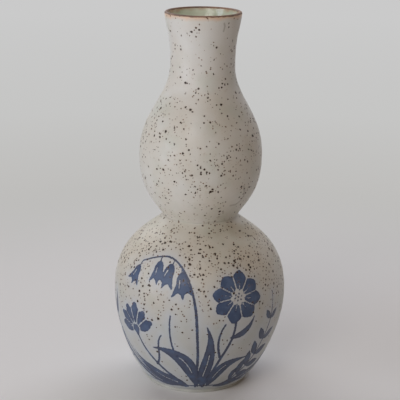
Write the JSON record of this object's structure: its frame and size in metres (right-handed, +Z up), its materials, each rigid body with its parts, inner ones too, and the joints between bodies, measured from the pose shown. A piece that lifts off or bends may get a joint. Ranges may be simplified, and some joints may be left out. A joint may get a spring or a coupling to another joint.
{
  "type": "bottle vase",
  "caption": "Double-gourd bottle vase with a round lower bulb, a smaller upper bulb, a narrow neck and a flared mouth, for standing flower stems in water.",
  "frame": {"origin": "middle of the foot ring's underside, on the surface that the vase stands on", "axes": "+Z up along the vase's axis, -Y towards the painted front"},
  "size_m": [0.0922, 0.0922, 0.2],
  "materials": {
    "bare_stoneware": "matt",
    "slip": "matt",
    "speckled_glaze": "satin",
    "iron_glaze": "satin",
    "celadon_glaze": "gloss"
  },
  "bodies": {
    "root": {"foot_ring": "bare_stoneware", "lower_bulb": "bare_stoneware", "waist_seam": "slip", "upper_bulb_and_neck": "bare_stoneware", "outer_glaze": "speckled_glaze", "lip_band": "iron_glaze", "liner_glaze": "celadon_glaze"}
  },
  "joints": []
}
